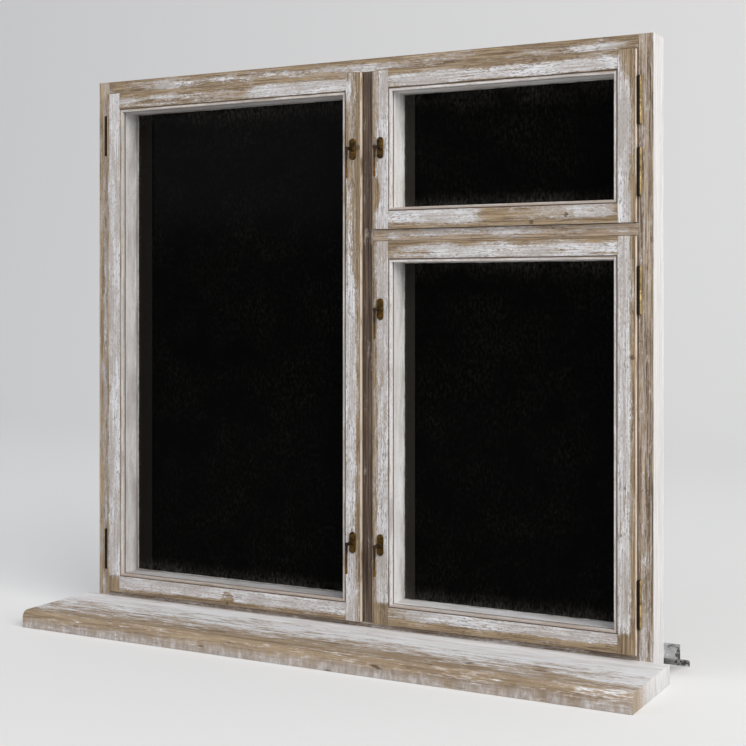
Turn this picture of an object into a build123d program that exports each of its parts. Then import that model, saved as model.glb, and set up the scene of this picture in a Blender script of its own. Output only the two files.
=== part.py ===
from build123d import *
import os

# A three-sash timber window with its board and outer sill. All sizes are in millimetres.
# X runs to the right as seen from the room, Y from the room to the outside, and Z up.
# The origin is the middle of the frame's foot.

# Outer frame
frame_width = 1450.0
frame_height = 1340.0
frame_depth = 70.0
jamb_face = 33.0
head_face = 31.0
foot_rail_face = 51.0
mullion_width = 28.0
mullion_offset = 57.0
transom_height = 26.0
transom_level = 935.0
stop_width = 14.0
stop_depth = 5.0
arris = 1.5
lip_bevel = 3.0
frame_tenon_length = 14.0
frame_tenon_width = 16.0
frame_tenon_thickness = 24.0

# Sashes
sash_gap = 1.0
sash_proud = 12.0
sash_face = 40.0
glazing_lip = 6.0
bead_width = 8.0
bead_setback = 1.0
bead_nose = 2.0
quirk_width = 1.6
quirk_depth = 3.0
reveal_line_depth = 12.0
reveal_line_width = 1.2
reveal_line_cut = 1.5
glass_thickness = 4.0
glass_edge_room = 3.0
sash_tenon_length = 28.0
sash_tenon_width = 26.0
sash_tenon_thickness = 22.0
tenon_room = 0.2

# Barrel hinges
hinge_length = 102.0
hinge_diameter = 10.8
hinge_end_bevel = 2.2
hinge_seam = 1.0
hinge_leaf = 2.5
hinge_leaf_margin = 8.0
hinge_room = 0.3
hinge_from_end = 105.0
lower_hinge_from_top = 113.0

# Lever handles
handle_inset = 21.0
handle_from_top = 175.0
lower_handle_from_top = 154.0
handle_from_bottom = 180.0
rosette_width = 16.0
rosette_height = 49.0
rosette_thickness = 4.0
rosette_rim = 1.2
collar_diameter = 13.0
collar_height = 2.5
spindle_diameter = 7.0
spindle_clearance = 0.08
running_gap = 0.3
neck_flange_diameter = 10.6
neck_flange = 1.8
neck_diameter = 8.4
neck_end_bevel = 1.6
lever_standoff = 29.0
lever_length = 68.0
lever_top_width = 5.6
lever_waist_width = 4.4
lever_tip_width = 5.6
lever_waist_level = 30.0
lever_thickness = 5.0
lever_tip_bevel = 1.6
lever_edge = 0.9

# Window board on the room side
board_thickness = 40.0
board_depth = 245.0
board_horn = 34.0
board_nose = 16.0

# Folded metal sill on the outside
sill_sheet = 2.0
sill_horn = 35.0
sill_flange = 32.0
sill_drop = 6.0
sill_reach = 75.0
sill_slope = 15.0
sill_lip = 12.0
sill_bend = 3.0

# Places that follow from the sizes above
front = -frame_depth / 2
back = frame_depth / 2
left_edge = -frame_width / 2
right_edge = frame_width / 2
sash_front = front - sash_proud
sash_depth = frame_depth - stop_depth + sash_proud
glass_front = sash_depth - glazing_lip - glass_thickness
mullion_left = mullion_offset - mullion_width / 2
mullion_right = mullion_offset + mullion_width / 2

RIGHT = Vector(1, 0, 0)
LEFT = Vector(-1, 0, 0)
UP = Vector(0, 0, 1)
DOWN = Vector(0, 0, -1)
OUTWARD = Vector(0, 1, 0)


def rebated_section(face, depth, lip_width, lip_depth):
    """A member from its outer edge inwards and from its front back, with a bevelled lip behind."""
    inner = face + lip_width
    shoulder = depth - lip_depth
    outline = Polyline(
        (0, 0), (face, 0), (face, shoulder), (inner, shoulder), (inner, depth - lip_bevel),
        (inner - lip_bevel, depth), (0, depth), close=True
    )
    section = make_face(outline)
    return fillet(section.vertices().group_by(Axis.Y)[0], arris)


def post_section(width):
    """A mullion or transom about its centre line, with a stop behind the sash on each side."""
    half = width / 2
    wide = half + stop_width
    shoulder = frame_depth - stop_depth
    bevelled = wide - lip_bevel
    outline = Polyline(
        (-half, 0), (half, 0), (half, shoulder), (wide, shoulder), (wide, frame_depth - lip_bevel),
        (bevelled, frame_depth), (-bevelled, frame_depth), (-wide, frame_depth - lip_bevel),
        (-wide, shoulder), (-half, shoulder), close=True
    )
    section = make_face(outline)
    return fillet(section.vertices().group_by(Axis.Y)[0], arris)


def bead_section():
    """A glazing bead with a quirk beside the sash, a rounded nose and a line cut along its reveal."""
    cut = bead_width - reveal_line_cut
    line_end = reveal_line_depth + reveal_line_width
    outline = Polyline(
        (0, quirk_depth), (quirk_width, quirk_depth), (quirk_width, bead_setback),
        (bead_width, bead_setback), (bead_width, reveal_line_depth), (cut, reveal_line_depth),
        (cut, line_end), (bead_width, line_end), (bead_width, glass_front), (0, glass_front), close=True
    )
    section = make_face(outline)
    nose = section.vertices().group_by(Axis.Y)[0].sort_by(Axis.X)[-1]
    return fillet(nose, bead_nose)


def run(section, corner, inward, length):
    """Carry a section along a side of an opening, clockwise as seen from the room."""
    plane = Plane(origin=corner, x_dir=inward, z_dir=inward.cross(OUTWARD))
    return extrude(plane * section, amount=length)


def mitred_run(section, corner, inward, length, width, depth):
    """A run whose two ends are cut back at 45 degrees towards the opening."""
    plane = Plane(origin=corner, x_dir=inward, z_dir=-OUTWARD)
    outline = make_face(Polyline((0, 0), (width, width), (width, length - width), (0, length), close=True))
    return run(section, corner, inward, length) & extrude(plane * outline, amount=-depth)


def bar(centre, size, room=0.0):
    """A straight bar of the given size, grown all round by a glue gap."""
    grown = size + Vector(1, 1, 1) * 2 * room
    return Pos(centre) * Box(grown.X, grown.Y, grown.Z)


def tenoned(rail, housings, centre, size):
    """Give a rail a tenon through its length, and cut the mortises for its ends."""
    mortised = [housing - bar(centre, size, tenon_room) for housing in housings]
    return rail + bar(centre, size), mortised


def frame_pieces():
    """Jambs of full height, with head, foot rail, mullion and transom tenoned between them."""
    inner = frame_width - 2 * jamb_face
    left_inner = left_edge + jamb_face
    right_inner = right_edge - jamb_face
    mullion_length = frame_height - head_face - foot_rail_face
    jamb = rebated_section(jamb_face, frame_depth, stop_width, stop_depth)
    head = rebated_section(head_face, frame_depth, stop_width, stop_depth)
    foot = rebated_section(foot_rail_face, frame_depth, stop_width, stop_depth)
    left_jamb = run(jamb, (left_edge, front, 0), RIGHT, frame_height)
    right_jamb = run(jamb, (right_edge, front, frame_height), LEFT, frame_height)
    jambs = left_jamb + right_jamb
    head_rail = run(head, (left_inner, front, frame_height), DOWN, inner) - jambs
    foot_rail = run(foot, (right_inner, front, 0), UP, inner) - jambs
    mullion_foot = (mullion_offset, front, foot_rail_face)
    mullion = run(post_section(mullion_width), mullion_foot, RIGHT, mullion_length)
    mullion = mullion - head_rail - foot_rail
    transom_end = (mullion_right, front, transom_level)
    transom = run(post_section(transom_height), transom_end, DOWN, right_inner - mullion_right)
    transom = transom - mullion - right_jamb

    across = Vector(inner + 2 * frame_tenon_length, frame_tenon_thickness, frame_tenon_width)
    head_centre = Vector(0, 0, frame_height - head_face / 2)
    head_rail, (left_jamb, right_jamb) = tenoned(head_rail, [left_jamb, right_jamb], head_centre, across)
    foot_centre = Vector(0, 0, foot_rail_face / 2)
    foot_rail, (left_jamb, right_jamb) = tenoned(foot_rail, [left_jamb, right_jamb], foot_centre, across)
    upright = Vector(frame_tenon_width, frame_tenon_thickness, mullion_length + 2 * frame_tenon_length)
    mullion_centre = Vector(mullion_offset, 0, foot_rail_face + mullion_length / 2)
    mullion, (head_rail, foot_rail) = tenoned(mullion, [head_rail, foot_rail], mullion_centre, upright)
    transom_length = right_inner - mullion_right
    level = Vector(transom_length + 2 * frame_tenon_length, frame_tenon_thickness, frame_tenon_width)
    transom_centre = Vector(mullion_right + transom_length / 2, 0, transom_level)
    transom, (mullion, right_jamb) = tenoned(transom, [mullion, right_jamb], transom_centre, level)
    return {
        "frame_left_jamb": left_jamb,
        "frame_right_jamb": right_jamb,
        "frame_head": head_rail,
        "frame_foot_rail": foot_rail,
        "mullion": mullion,
        "transom": transom,
    }


def sash_pieces(name, low, high, hinge_side):
    """Two stiles of full height, two rails tenoned between them, mitred beads and a pane."""
    wide = high.X - low.X
    tall = high.Z - low.Z
    section = rebated_section(sash_face, sash_depth, bead_width, glazing_lip)
    left_stile = run(section, (low.X, sash_front, low.Z), RIGHT, tall)
    right_stile = run(section, (high.X, sash_front, high.Z), LEFT, tall)
    rail_length = wide - 2 * sash_face
    stiles = left_stile + right_stile
    top_rail = run(section, (low.X + sash_face, sash_front, high.Z), DOWN, rail_length) - stiles
    bottom_rail = run(section, (high.X - sash_face, sash_front, low.Z), UP, rail_length) - stiles
    tenon = Vector(rail_length + 2 * sash_tenon_length, sash_tenon_thickness, sash_tenon_width)
    middle = Vector((low.X + high.X) / 2, sash_front + sash_depth / 2, 0)
    upper_centre = middle + UP * (high.Z - sash_face / 2)
    lower_centre = middle + UP * (low.Z + sash_face / 2)
    top_rail, (left_stile, right_stile) = tenoned(top_rail, [left_stile, right_stile], upper_centre, tenon)
    bottom_rail, (left_stile, right_stile) = tenoned(
        bottom_rail, [left_stile, right_stile], lower_centre, tenon
    )
    hinge_stile, lock_stile = (left_stile, right_stile) if hinge_side < 0 else (right_stile, left_stile)
    side_beads, rail_beads = bead_pairs(low, high)
    return {
        f"{name}_sash_hinge_stile": hinge_stile,
        f"{name}_sash_lock_stile": lock_stile,
        f"{name}_sash_top_rail": top_rail,
        f"{name}_sash_bottom_rail": bottom_rail,
        f"{name}_side_beads": side_beads,
        f"{name}_rail_beads": rail_beads,
        f"{name}_glass": pane(low, high),
    }


def bead_pairs(low, high):
    """Four beads round the pane, as the pair at its sides and the pair above and below."""
    left, right = low.X + sash_face, high.X - sash_face
    bottom, top = low.Z + sash_face, high.Z - sash_face
    section = bead_section()
    sides = [
        mitred_run(section, (left, sash_front, bottom), RIGHT, top - bottom, bead_width, sash_depth),
        mitred_run(section, (right, sash_front, top), LEFT, top - bottom, bead_width, sash_depth),
    ]
    rails = [
        mitred_run(section, (left, sash_front, top), DOWN, right - left, bead_width, sash_depth),
        mitred_run(section, (right, sash_front, bottom), UP, right - left, bead_width, sash_depth),
    ]
    return Compound(sides), Compound(rails)


def pane(low, high):
    """One sheet of glass between the beads and the sash's outer lip."""
    inset = 2 * (sash_face + glass_edge_room)
    centre = Pos((low.X + high.X) / 2, sash_front + glass_front + glass_thickness / 2, (low.Z + high.Z) / 2)
    return centre * Box(high.X - low.X - inset, glass_thickness, high.Z - low.Z - inset)


def hinge(edge_x, level, side):
    """A barrel of two knuckles: the upper one's leaf meets the sash, the lower one's the frame."""
    radius = hinge_diameter / 2
    half = hinge_length / 2
    seam = hinge_seam / 2
    outline = make_face(Polyline(
        (0, -half), (radius, -half), (radius, -seam), (radius - seam, 0), (radius, seam),
        (radius, half), (0, half), close=True
    ))
    rims = outline.vertices().group_by(Axis.Y)
    tips = [rims[0].sort_by(Axis.X)[-1], rims[-1].sort_by(Axis.X)[-1]]
    barrel = revolve(Plane.XZ * chamfer(tips, hinge_end_bevel), Axis.Z)
    leaf_height = half - hinge_leaf_margin - seam
    leaf_level = seam + leaf_height / 2
    reach = radius + hinge_room
    sash_leaf = Pos(-side * reach / 2, 0, leaf_level) * Box(reach, hinge_leaf, leaf_height)
    frame_leaf = Pos(0, reach / 2, -leaf_level) * Box(hinge_leaf, reach, leaf_height)
    place = Pos(edge_x + side * reach, front - reach, level)
    return place * (barrel + sash_leaf + frame_leaf)


def rosette():
    """A long plate with round ends and a bevelled rim, and a collar bored for the spindle."""
    outline = Plane.XZ * SlotOverall(rosette_height, rosette_width, rotation=90)
    plate = extrude(outline, rosette_thickness)
    plate = chamfer(plate.faces().sort_by(Axis.Y)[0].edges(), rosette_rim)
    tall = rosette_thickness + collar_height
    collar = extrude(Plane.XZ * Circle(collar_diameter / 2), tall)
    bore = extrude(Plane.XZ * Circle(spindle_diameter / 2 + spindle_clearance), tall)
    return plate + collar - bore


def lever():
    """A turned neck on its spindle, and a slim waisted lever with eased edges that hangs from it."""
    start = rosette_thickness + collar_height + running_gap
    neck = neck_diameter / 2
    spindle = spindle_diameter / 2
    flange = neck_flange_diameter / 2
    end = lever_standoff + neck
    neck_profile = make_face(Polyline(
        (0, -end), (0, -running_gap), (spindle, -running_gap), (spindle, -start), (flange, -start),
        (flange, -start - neck_flange), (neck, -start - neck_flange), (neck, neck_end_bevel - end),
        (neck - neck_end_bevel, -end), close=True
    ))
    tip = lever_tip_width / 2
    tip_level = lever_tip_bevel - lever_length
    right_side = [
        (lever_top_width / 2, 0), (lever_waist_width / 2, -lever_waist_level), (tip, tip_level),
        (tip - lever_tip_bevel, -lever_length)
    ]
    left_side = [(-x, level) for x, level in reversed(right_side)]
    outline = make_face(Polyline(*right_side, *left_side, close=True))
    blade = extrude(Plane.XZ * outline, lever_thickness / 2, both=True)
    blade = chamfer(blade.faces().filter_by(Axis.Y).edges(), lever_edge)
    return revolve(neck_profile, Axis.Y) + Pos(0, -lever_standoff, 0) * blade


def window_board():
    """A thick board that butts against the frame, with its top front edge rounded."""
    section = make_face(Polyline(
        (front - board_depth, 0), (front, 0), (front, board_thickness),
        (front - board_depth, board_thickness), close=True
    ))
    nose = section.vertices().group_by(Axis.Y)[-1].sort_by(Axis.X)[0]
    length = frame_width + 2 * board_horn
    return Pos(-length / 2, 0, 0) * extrude(Plane.YZ * fillet(nose, board_nose), length)


def exterior_sill():
    """One folded sheet: a flange on the frame's back, a sloping shelf and a drip lip."""
    fold = board_thickness - sill_drop
    edge = PolarLine((back, fold), sill_reach, -sill_slope) @ 1
    route = FilletPolyline(
        (back, fold + sill_flange), (back, fold), (edge.X, edge.Y), (edge.X, edge.Y - sill_lip),
        radius=sill_bend
    )
    length = frame_width + 2 * sill_horn
    sheet = make_brake_formed(sill_sheet, length, Plane.YZ * route, side=Side.RIGHT)
    return Pos(-length / 2, 0, 0) * sheet


def sash_limits():
    """Lowest and highest corner of each sash, one gap inside the frame that holds it."""
    bottom = foot_rail_face + sash_gap
    top = frame_height - head_face - sash_gap
    left_in = left_edge + jamb_face + sash_gap
    right_in = right_edge - jamb_face - sash_gap
    transom_bottom = transom_level - transom_height / 2 - sash_gap
    transom_top = transom_level + transom_height / 2 + sash_gap
    return {
        "left": (Vector(left_in, 0, bottom), Vector(mullion_left - sash_gap, 0, top)),
        "upper": (Vector(mullion_right + sash_gap, 0, transom_top), Vector(right_in, 0, top)),
        "lower": (Vector(mullion_right + sash_gap, 0, bottom), Vector(right_in, 0, transom_bottom)),
    }


sashes = sash_limits()
hinge_sides = {"left": -1, "upper": 1, "lower": 1}
hinge_levels = {
    "left": [sashes["left"][1].Z - hinge_from_end, sashes["left"][0].Z + hinge_from_end],
    "upper": [sashes["upper"][1].Z - hinge_from_end, sashes["upper"][0].Z + hinge_from_end],
    "lower": [sashes["lower"][1].Z - lower_hinge_from_top, sashes["lower"][0].Z + hinge_from_end],
}
handle_levels = {
    "left": {"top": sashes["left"][1].Z - handle_from_top, "bottom": sashes["left"][0].Z + handle_from_bottom},
    "upper": {"middle": sashes["upper"][1].Z - handle_from_top},
    "lower": {
        "top": sashes["lower"][1].Z - lower_handle_from_top,
        "bottom": sashes["lower"][0].Z + handle_from_bottom,
    },
}

nodes = frame_pieces()
for name, (low, high) in sashes.items():
    side = hinge_sides[name]
    nodes |= sash_pieces(name, low, high, side)
    hinge_edge = low.X if side < 0 else high.X
    nodes[f"{name}_hinges"] = Compound([hinge(hinge_edge, level, side) for level in hinge_levels[name]])
    handle_x = high.X - handle_inset if side < 0 else low.X + handle_inset
    places = {key: Pos(handle_x, sash_front, level) for key, level in handle_levels[name].items()}
    nodes[f"{name}_rosettes"] = Compound([place * rosette() for place in places.values()])
    for key, place in places.items():
        nodes[f"{name}_{key}_lever"] = place * lever()
nodes["window_board"] = window_board()
nodes["exterior_sill"] = exterior_sill()

os.makedirs("parts", exist_ok=True)
for name, piece in nodes.items():
    export_step(piece, f"parts/{name}.step")
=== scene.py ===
"""Old timber casement window: three painted sashes in a worn frame, with a deep window board."""
import math

import bmesh
import bpy
import numpy as np
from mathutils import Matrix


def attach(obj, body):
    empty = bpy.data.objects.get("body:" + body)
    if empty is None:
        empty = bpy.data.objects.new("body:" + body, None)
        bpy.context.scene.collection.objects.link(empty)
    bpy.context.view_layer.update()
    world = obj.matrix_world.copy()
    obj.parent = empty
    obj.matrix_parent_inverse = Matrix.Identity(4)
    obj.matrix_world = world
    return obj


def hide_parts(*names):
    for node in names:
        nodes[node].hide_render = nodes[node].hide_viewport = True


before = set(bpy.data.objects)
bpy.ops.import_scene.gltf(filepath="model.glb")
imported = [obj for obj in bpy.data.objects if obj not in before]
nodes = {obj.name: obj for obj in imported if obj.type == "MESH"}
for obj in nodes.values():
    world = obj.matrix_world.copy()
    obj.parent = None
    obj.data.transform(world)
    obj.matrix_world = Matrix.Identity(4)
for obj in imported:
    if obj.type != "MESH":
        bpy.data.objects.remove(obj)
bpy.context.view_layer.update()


# Outer frame
# Six planed softwood members, scribed and tenoned into each other and painted long ago.
# The paint has worn to streaks, the foot rail is nearly bare, and the mullion is bare and dark.
frame_half = 0.725
frame_top = 1.340
frame_face = -0.035
jamb_inside = 0.692
rail_half = 0.706


class Finish:
    """A material in the making. Each method adds its nodes and returns what they give."""

    def __init__(self, name):
        self.material = bpy.data.materials.new(name)
        self.material.use_nodes = True
        self.tree = self.material.node_tree
        self.shader = self.tree.nodes["Principled BSDF"]
        self.place = self.add("ShaderNodeTexCoord").outputs["Object"]
        split = self.add("ShaderNodeSeparateXYZ")
        self.feed(split.inputs[0], self.place)
        self.x, self.y, self.z = split.outputs

    def add(self, kind):
        return self.tree.nodes.new(kind)

    def feed(self, socket, given):
        """Puts a number, a colour or another node's output into a socket."""
        if isinstance(given, bpy.types.NodeSocket):
            self.tree.links.new(given, socket)
        else:
            socket.default_value = given

    def reckon(self, operation, first, second=0.0, clamp=False):
        node = self.add("ShaderNodeMath")
        node.operation = operation
        node.use_clamp = clamp
        self.feed(node.inputs[0], first)
        self.feed(node.inputs[1], second)
        return node.outputs[0]

    def plus(self, first, second, clamp=False):
        return self.reckon("ADD", first, second, clamp)

    def minus(self, first, second):
        return self.reckon("SUBTRACT", first, second)

    def times(self, first, second):
        return self.reckon("MULTIPLY", first, second)

    def away(self, value, middle):
        """How far value is from middle, either way."""
        return self.reckon("ABSOLUTE", self.minus(value, middle))

    def swing(self, noise, amount):
        """Noise as a push up or down: how far it is above one half, times amount."""
        return self.times(self.minus(noise, 0.5), amount)

    def oval(self, t, s, t_middle, s_middle, t_half, s_half):
        """The two distances from a middle, each over its half size, squared and added: 1 on the oval."""
        t_away = self.reckon("DIVIDE", self.minus(t, t_middle), t_half)
        s_away = self.reckon("DIVIDE", self.minus(s, s_middle), s_half)
        return self.plus(self.reckon("POWER", t_away, 2.0), self.reckon("POWER", s_away, 2.0))

    def span(self, value, low, high, smooth=False):
        """0 where value is low and 1 where it is high, straight or eased between."""
        node = self.add("ShaderNodeMapRange")
        node.interpolation_type = "SMOOTHSTEP" if smooth else "LINEAR"
        self.feed(node.inputs["Value"], value)
        node.inputs["From Min"].default_value = low
        node.inputs["From Max"].default_value = high
        return node.outputs["Result"]

    def join(self, x, y, z):
        node = self.add("ShaderNodeCombineXYZ")
        for socket, given in zip(node.inputs, (x, y, z)):
            self.feed(socket, given)
        return node.outputs[0]

    def noise(self, vector, along, across, detail=3.0, rough=0.6, shift=0.0):
        """Noise with this many cells a metre along the grain and across it."""
        scale = self.add("ShaderNodeMapping")
        scale.inputs["Scale"].default_value = (along, across, across)
        scale.inputs["Location"].default_value = (shift, shift, shift)
        self.feed(scale.inputs["Vector"], vector)
        node = self.add("ShaderNodeTexNoise")
        self.feed(node.inputs["Vector"], scale.outputs[0])
        node.inputs["Scale"].default_value = 1.0
        node.inputs["Detail"].default_value = detail
        node.inputs["Roughness"].default_value = rough
        return node.outputs["Fac"]

    def curve(self, value, *stops):
        """A smooth curve through (position, height) stops, for a value from 0 to 1."""
        node = self.add("ShaderNodeValToRGB")
        node.color_ramp.interpolation = "EASE"
        self.feed(node.inputs[0], value)
        self.fill_ramp(node.color_ramp, [(place, (level, level, level, 1)) for place, level in stops])
        return node.outputs["Color"]

    def tones(self, value, *stops):
        """A run of colours at (position, colour) stops."""
        node = self.add("ShaderNodeValToRGB")
        self.feed(node.inputs[0], value)
        self.fill_ramp(node.color_ramp, stops)
        return node.outputs["Color"]

    def fill_ramp(self, ramp, stops):
        while len(ramp.elements) < len(stops):
            ramp.elements.new(1.0)
        for element, (place, colour) in zip(ramp.elements, stops):
            element.position = place
            element.color = colour

    def blend(self, share, first, second):
        """first where share is 0, second where it is 1."""
        node = self.add("ShaderNodeMix")
        node.data_type = "RGBA"
        self.feed(node.inputs["Factor"], share)
        self.feed(node.inputs["A"], first)
        self.feed(node.inputs["B"], second)
        return node.outputs["Result"]

    def lay(self, colour, share, amount, over):
        """colour with another one laid over it, where share is high and as dense as amount."""
        return self.blend(self.times(share, amount), colour, over)

    def close(self, colour, roughness, height=None, relief=0.0006, strength=0.7):
        """Joins colour, roughness and relief to the shader and returns the material."""
        self.feed(self.shader.inputs["Base Color"], colour)
        self.feed(self.shader.inputs["Roughness"], roughness)
        if height is not None:
            bump = self.add("ShaderNodeBump")
            bump.inputs["Strength"].default_value = strength
            bump.inputs["Distance"].default_value = relief
            self.feed(bump.inputs["Height"], height)
            self.feed(self.shader.inputs["Normal"], bump.outputs[0])
        return self.material


def tint(red, green, blue):
    """A shader colour from its 0 to 255 screen values."""
    part = np.array((red, green, blue)) / 255
    part = np.where(part <= 0.04045, part / 12.92, ((part + 0.055) / 1.055) ** 2.4)
    return (*part.tolist(), 1.0)


paint_pale = tint(232, 231, 232)
paint_grey = tint(188, 183, 180)
paint_worn = tint(168, 150, 134)
paint_side = tint(208, 205, 203)
side_paint_highlight = tint(238, 238, 238)
wash = tint(194, 177, 160)
cream = tint(236, 222, 206)
crack_brown = tint(96, 80, 66)
pore_and_shade_brown = tint(84, 68, 54)
knot_brown = tint(88, 66, 46)
bare_light = tint(184, 161, 129)
bare_dark = tint(120, 100, 75)


def member_axes(finish, grain):
    """The way along a member, the way across it, and a place whose first part runs with the grain."""
    run, side = (finish.x, finish.z) if grain == "x" else (finish.z, finish.x)
    return run, side, finish.join(run, side, finish.y)


def worn_cover(wood, t, s, curves, patches, layers):
    """How much paint is left: a curve along the member times one across it, plus ovals and noise."""
    along_cover, across_cover = curves
    cover = wood.times(wood.curve(t, *along_cover), wood.curve(s, *across_cover))
    for *place, amount in patches:
        patch = wood.span(wood.oval(t, s, *place), 1.0, 0.3, smooth=True)
        cover = wood.plus(cover, wood.times(patch, amount))
    for layer, amount in layers:
        cover = wood.plus(cover, wood.swing(layer, amount))
    return cover


def bare_grain(wood, vector, streaks, bare):
    """Dark and light streaks, with fine pores where a stretched noise crosses its middle."""
    tone = wood.blend(wood.span(streaks, 0.40, 0.60), *bare)
    pore = wood.away(wood.noise(vector, 7, 230, detail=2, shift=17.0), 0.5)
    return wood.lay(tone, wood.span(pore, 0.035, 0.010), 0.55, pore_and_shade_brown)


def old_paint(wood, tone, streaks, chips, fibres):
    """Grey to pale paint by tone and streaks, worn brown in some chips and along some fibres."""
    paint = wood.blend(wood.span(wood.plus(tone, streaks), 0.88, 1.12), paint_grey, paint_pale)
    scuff = wood.times(wood.span(chips, 0.49, 0.38), wood.span(tone, 0.66, 0.46))
    paint = wood.lay(paint, scuff, 0.8, paint_worn)
    return wood.lay(paint, wood.span(fibres, 0.46, 0.34), 0.4, paint_worn)


def rubbed_edge(wood, colour, s, flakes, amount):
    """A cream line along the member's outer edge, and a dark line behind it, next to the frame: dirt and
    painted shade in the gap.
    """
    line = wood.times(wood.span(s, 0.03, 0.01), wood.span(flakes, 0.36, 0.50))
    colour = wood.lay(colour, line, amount, cream)
    # Dirt and painted shade at the back of the edge, in the gap to the frame.
    gap_dirt_and_shade = wood.times(wood.span(s, 0.012, 0.004), wood.span(wood.y, -0.0410, -0.0385))
    return wood.lay(colour, gap_dirt_and_shade, amount, pore_and_shade_brown)


def weathered(name, grain, along, across, along_cover, across_cover, patches=(),
              bare=(bare_dark, bare_light), edge=0.0, flake=(11, 55), knots=(), pale_side_highlight=False):
    """Peeling paint on planed wood, by t from 0 to 1 along the member and s across it.

    Covers are (place, cover) stops, knots are (t, s, half length, half width), and patches add an amount.
    Thick paint lies above one level of cover, a thin wash above a lower one, and bare grain elsewhere.
    Cracks, knots, a rubbed edge with a dark line of dirt and painted shade behind it, and the paler paint
    of an outer side, partly a painted highlight, come over them in that order.
    """
    wood = Finish(name)
    run, side, vector = member_axes(wood, grain)
    t = wood.span(run, *along)
    s = wood.span(side, *across)
    flakes = wood.noise(vector, *flake, detail=5, rough=0.7)
    chips = wood.noise(vector, 110, 300, detail=3, rough=0.7, shift=3.0)
    fibres = wood.noise(vector, 9, 420, detail=2, rough=0.7, shift=7.0)
    rings = wood.noise(vector, 2.4, 110, detail=4, rough=0.65, shift=5.0)
    tone = wood.noise(vector, 9, 30, detail=3, shift=1.0)
    ridge = wood.away(wood.noise(vector, 20, 150, detail=2, shift=11.0), 0.5)
    streaks = wood.plus(wood.times(fibres, 0.5), wood.times(rings, 0.5))
    layers = ((flakes, 2.1), (chips, 1.05), (fibres, 0.6))
    cover = worn_cover(wood, t, s, (along_cover, across_cover), patches, layers)
    thick = wood.span(cover, 0.53, 0.62, smooth=True)
    thin = wood.span(cover, 0.16, 0.54, smooth=True)
    crack = wood.times(wood.span(ridge, 0.030, 0.008), wood.span(tone, 0.46, 0.58))
    washed = wood.blend(wood.span(fibres, 0.35, 0.65), wash, paint_grey)
    colour = wood.lay(bare_grain(wood, vector, streaks, bare), thin, 0.75, washed)
    colour = wood.blend(thick, colour, old_paint(wood, tone, streaks, chips, fibres))
    colour = wood.lay(colour, crack, 0.7, crack_brown)
    for knot in knots:
        rim = wood.plus(wood.oval(t, s, *knot), wood.swing(chips, 2.0))
        colour = wood.lay(colour, wood.span(rim, 1.0, 0.2, smooth=True), 0.8, knot_brown)
    if edge:
        colour = rubbed_edge(wood, colour, s, flakes, edge)
    # Paler paint on the outer side: white paint, brightened past the front's as a painted highlight of a
    # side lit from the right.
    if pale_side_highlight:
        side_tone = wood.blend(wood.span(fibres, 0.36, 0.60), paint_side, side_paint_highlight)
        colour = wood.lay(colour, wood.span(s, 0.012, 0.004), 0.85, side_tone)
    roughness = wood.minus(0.84, wood.times(thick, 0.22))
    height = wood.plus(wood.times(thick, 0.8), wood.times(streaks, 1.1))
    return wood.close(colour, roughness, wood.minus(height, wood.times(crack, 0.6)))


def dress(node, material):
    """Gives a CAD node one material."""
    nodes[node].data.materials.clear()
    nodes[node].data.materials.append(material)


dress("frame_left_jamb", weathered(
    "left_jamb_wood", "z", (0.0, frame_top), (-frame_half, -jamb_inside),
    ((0, 0.45), (0.1, 0.4), (0.5, 0.55), (0.9, 0.5), (1, 0.45)),
    ((0, 0.5), (0.3, 0.5), (0.6, 1), (1, 0.8)),
    bare=(tint(146, 124, 99), tint(204, 183, 152)), pale_side_highlight=True))
dress("frame_right_jamb", weathered(
    "right_jamb_wood", "z", (0.0, frame_top), (frame_half, jamb_inside),
    ((0, 0.8), (0.06, 0.75), (0.15, 0.5), (0.3, 0.36), (1, 0.42)),
    ((0, 0.3), (0.3, 0.5), (0.7, 0.8), (1, 0.5)),
    patches=((0.5, 0.0, 5.0, 0.02, 0.9),),
    bare=(tint(88, 72, 56), tint(208, 188, 164)), flake=(26, 170), pale_side_highlight=True))
dress("frame_head", weathered(
    "head_wood", "x", (-rail_half, rail_half), (frame_top, 1.309),
    ((0, 0.2), (0.05, 0.35), (0.12, 0.8), (0.33, 0.6), (0.5, 0.7), (0.62, 0.6), (0.75, 0.35),
     (0.85, 0.3), (0.93, 0.8), (1, 0.3)),
    ((0, 0.15), (0.3, 0.4), (0.5, 0.9), (0.8, 0.8), (1, 0.25))))
dress("mullion", weathered(
    "mullion_wood", "z", (0.05, 1.31), (0.043, 0.071), ((0, -0.1), (1, -0.1)), ((0, 1), (1, 1)),
    patches=((0.703, 0.5, 0.02, 0.8, 0.35),), bare=(tint(42, 29, 21), tint(134, 113, 97))))
dress("transom", weathered(
    "transom_wood", "x", (0.072, 0.691), (0.948, 0.922),
    ((0, 0.25), (0.08, 0.5), (0.25, 0.95), (0.36, 0.5), (0.5, 0.85), (0.65, 0.55), (1, 0.45)),
    ((0, 0.75), (0.5, 0.8), (1, 0.15)), bare=(tint(158, 137, 114), tint(214, 194, 169))))
dress("frame_foot_rail", weathered(
    "foot_rail_wood", "x", (-rail_half, rail_half), (0.04, 0.051),
    ((0, 0.35), (1, 0.35)), ((0, 1), (1, 0.6)),
    bare=(tint(104, 90, 78), tint(164, 148, 132))))


# Sashes
# Each sash is two stiles and two rails, tenoned together and planed flush, 12 mm proud of the frame.
# Thick paint stays on the middle and the pane side of a member, and the rubbed outer edges are bare.
sash_front = -0.047
sash_face = 0.040
sashes = {
    "left": ((-0.691, 0.052), (0.042, 1.308), -1),
    "upper": ((0.072, 0.949), (0.691, 1.308), 1),
    "lower": ((0.072, 0.052), (0.691, 0.921), 1),
}
pane_side = ((0, 0.1), (0.22, 0.35), (0.42, 0.92), (1, 0.97))
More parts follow.
